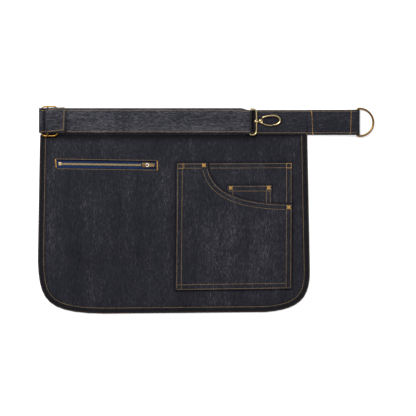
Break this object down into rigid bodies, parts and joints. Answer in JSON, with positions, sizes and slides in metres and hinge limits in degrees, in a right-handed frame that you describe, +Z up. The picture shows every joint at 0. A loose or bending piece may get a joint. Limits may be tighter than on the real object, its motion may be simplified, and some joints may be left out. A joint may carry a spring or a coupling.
{
  "type": "waist apron",
  "caption": "Short denim waist apron lying flat, with a waistband, adjustable strap, slider, hook, D-ring, zip pocket and patch pocket.",
  "frame": {"origin": "centre of the outline as it lies, on the table", "axes": "+Z up out of the front of the apron, +Y towards the waistband, +X along the waistband towards the D-ring"},
  "size_m": [0.6825, 0.4218, 0.0138],
  "materials": {
    "denim": "raw dark indigo denim",
    "lining": "plain cotton pocketing",
    "zip_tape": "woven blue tape",
    "zip_metal": "antique",
    "antique_brass": "antique, dark",
    "hook_brass": "antique, bright"
  },
  "bodies": {
    "apron": {"apron_panel": "denim", "waistband": "denim", "adjuster_strap": "denim", "strap_slider": "antique_brass", "zip_tape": "zip_tape", "zip_chain": "zip_metal", "zip_end_stop": "zip_metal", "zip_slider": "zip_metal", "zip_pocket_bag": "lining", "pocket_back": "denim", "coin_pocket": "denim", "pocket_front": "denim"},
    "d_ring": {"d_ring": "antique_brass"},
    "hook_ring": {"hook_ring": "hook_brass"},
    "hook": {"hook_body": "hook_brass"},
    "gate": {"hook_gate": "hook_brass"},
    "puller": {"zip_puller": "zip_metal"}
  },
  "joints": [
    {"name": "d_ring_hinge", "type": "hinge", "parent": "apron", "child": "d_ring", "pos_m": [0.3065, 0.1771, 0.005], "axis": [0, -1, 0], "range_deg": [-120, 135]},
    {"name": "hook_ring_hinge", "type": "hinge", "parent": "apron", "child": "hook_ring", "pos_m": [0.0889, 0.178, 0.0079], "axis": [0, -1, 0], "range_deg": [0, 130]},
    {"name": "hook_swivel", "type": "hinge", "parent": "hook_ring", "child": "hook", "pos_m": [0.1018, 0.1788, 0.00654], "axis": [1, 0, 0], "range_deg": [-9, 9]},
    {"name": "hook_gate_hinge", "type": "hinge", "parent": "hook", "child": "gate", "pos_m": [0.111, 0.1793, 0.00654], "axis": [0, 0, 1], "range_deg": [0, 20], "stiffness_Nm_per_rad": 0.02},
    {"name": "zip_puller_hinge", "type": "hinge", "parent": "apron", "child": "puller", "pos_m": [-0.12161, 0.09041, 0.0081], "axis": [-0.0148, -0.9999, 0], "range_deg": [0, 170]}
  ]
}
